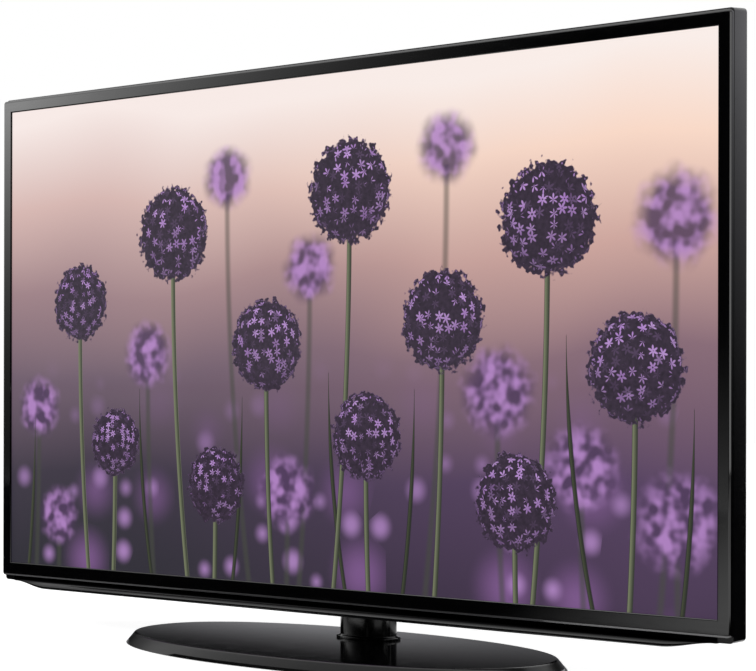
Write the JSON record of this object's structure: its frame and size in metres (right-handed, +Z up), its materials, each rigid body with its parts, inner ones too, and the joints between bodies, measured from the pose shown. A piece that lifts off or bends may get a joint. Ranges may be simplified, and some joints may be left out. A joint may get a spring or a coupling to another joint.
{
  "type": "flat screen television",
  "caption": "Flat screen television with a slim glossy frame, picture panel, curved lower lip and rear connector bays, turning on an oval swivel stand.",
  "frame": {"origin": "on the floor under the centre of the oval base", "axes": "+X to the right as seen from the front, +Y towards the back, +Z up"},
  "size_m": [1.128, 0.3084, 0.7237],
  "materials": {
    "bezel_gloss": "high gloss piano black",
    "trim_gloss": "gloss black",
    "cover_plastic": "fine spark-eroded texture, black",
    "panel_glass": "fine anti-glare matte",
    "window_plastic": "smoked, dark",
    "foam": "soft closed-cell foam",
    "board_green": "solder-masked glass fibre",
    "board_tan": "bare paper phenolic board",
    "zinc_steel": "zinc plated, dull",
    "black_steel": "black powder coat",
    "steel_screws": "zinc plated",
    "frame_plastic": "moulded",
    "film_white": "translucent sheet",
    "clear_plastic": "moulded, clear",
    "white_sheet": "white foamed sheet",
    "led_board": "white solder mask",
    "pan_steel": "galvanised sheet",
    "flex_film": "amber film",
    "component_black": "moulded epoxy and sleeve",
    "bare_aluminium": "extruded",
    "white_nylon": "natural nylon",
    "lead_black": "satin jacket",
    "tin_plate": "tin plated",
    "black_nylon": "moulded",
    "nickel": "bright nickel plate",
    "speaker_plastic": "moulded",
    "driver_steel": "black steel frame and magnet, paper cone",
    "rubber_black": "soft, matt",
    "key_plastic": "satin black",
    "neck_gloss": "high gloss black",
    "spindle_steel": "turned",
    "acetal": "slippery, off-white",
    "base_gloss": "high gloss black"
  },
  "bodies": {
    "stand_base": {"base_cover": "base_gloss", "base_plate": "black_steel", "rubber_feet": "rubber_black", "base_screws": "steel_screws", "swivel_hub": "spindle_steel", "swivel_washers": "acetal"},
    "display": {"front_bezel": "bezel_gloss", "screen_gasket": "foam", "bottom_trim": "trim_gloss", "sensor_window": "window_plastic", "small_boards": "board_green", "rear_cover": "cover_plastic", "chassis_posts": "zinc_steel", "cover_screws": "black_steel", "wall_mount_posts": "zinc_steel", "lcd_panel": "panel_glass", "middle_frame": "frame_plastic", "optical_sheets": "film_white", "diffuser_supports": "clear_plastic", "reflector_sheet": "white_sheet", "led_bars": "led_board", "back_pan": "pan_steel", "module_brackets": "pan_steel", "display_boards": "board_green", "ribbon_cables": "flex_film", "main_board": "board_green", "power_board": "board_tan", "board_screws": "steel_screws", "board_components": "component_black", "heat_sinks": "bare_aluminium", "plug_headers": "white_nylon", "wiring_leads": "lead_black", "jack_bracket": "tin_plate", "side_port_shells": "tin_plate", "side_port_tongues": "black_nylon", "headphone_jack": "black_nylon", "tuner": "tin_plate", "lan_port": "tin_plate", "optical_port": "black_nylon", "av_jack_bodies": "black_nylon", "av_jack_barrels": "nickel", "power_inlet": "black_nylon", "inlet_pins": "nickel", "speaker_box_left": "speaker_plastic", "speaker_box_right": "speaker_plastic", "speaker_drivers": "driver_steel", "speaker_mounts": "rubber_black", "key_switches": "black_nylon", "stand_mount": "black_steel", "stand_bracket": "black_steel", "stand_screws": "steel_screws", "neck_column": "neck_gloss", "neck_spindle": "spindle_steel", "spindle_nut": "steel_screws"},
    "key_power_cap": {"key_power": "key_plastic"},
    "key_input_cap": {"key_input": "key_plastic"},
    "key_volume_down_cap": {"key_volume_down": "key_plastic"},
    "key_volume_up_cap": {"key_volume_up": "key_plastic"},
    "key_channel_down_cap": {"key_channel_down": "key_plastic"},
    "key_channel_up_cap": {"key_channel_up": "key_plastic"}
  },
  "joints": [
    {"name": "stand_swivel", "type": "hinge", "parent": "stand_base", "child": "display", "pos_m": [0, 0.064, 0.0144], "axis": [0, 0, 1], "range_deg": [-20, 20]},
    {"name": "key_power_press", "type": "slide", "parent": "display", "child": "key_power_cap", "axis": [0, -1, 0], "range_m": [0, 0.0009], "stiffness_N_per_m": 800, "springref_m": -0.0006},
    {"name": "key_input_press", "type": "slide", "parent": "display", "child": "key_input_cap", "axis": [0, -1, 0], "range_m": [0, 0.0009], "stiffness_N_per_m": 800, "springref_m": -0.0006},
    {"name": "key_volume_down_press", "type": "slide", "parent": "display", "child": "key_volume_down_cap", "axis": [0, -1, 0], "range_m": [0, 0.0009], "stiffness_N_per_m": 800, "springref_m": -0.0006},
    {"name": "key_volume_up_press", "type": "slide", "parent": "display", "child": "key_volume_up_cap", "axis": [0, -1, 0], "range_m": [0, 0.0009], "stiffness_N_per_m": 800, "springref_m": -0.0006},
    {"name": "key_channel_down_press", "type": "slide", "parent": "display", "child": "key_channel_down_cap", "axis": [0, -1, 0], "range_m": [0, 0.0009], "stiffness_N_per_m": 800, "springref_m": -0.0006},
    {"name": "key_channel_up_press", "type": "slide", "parent": "display", "child": "key_channel_up_cap", "axis": [0, -1, 0], "range_m": [0, 0.0009], "stiffness_N_per_m": 800, "springref_m": -0.0006}
  ]
}
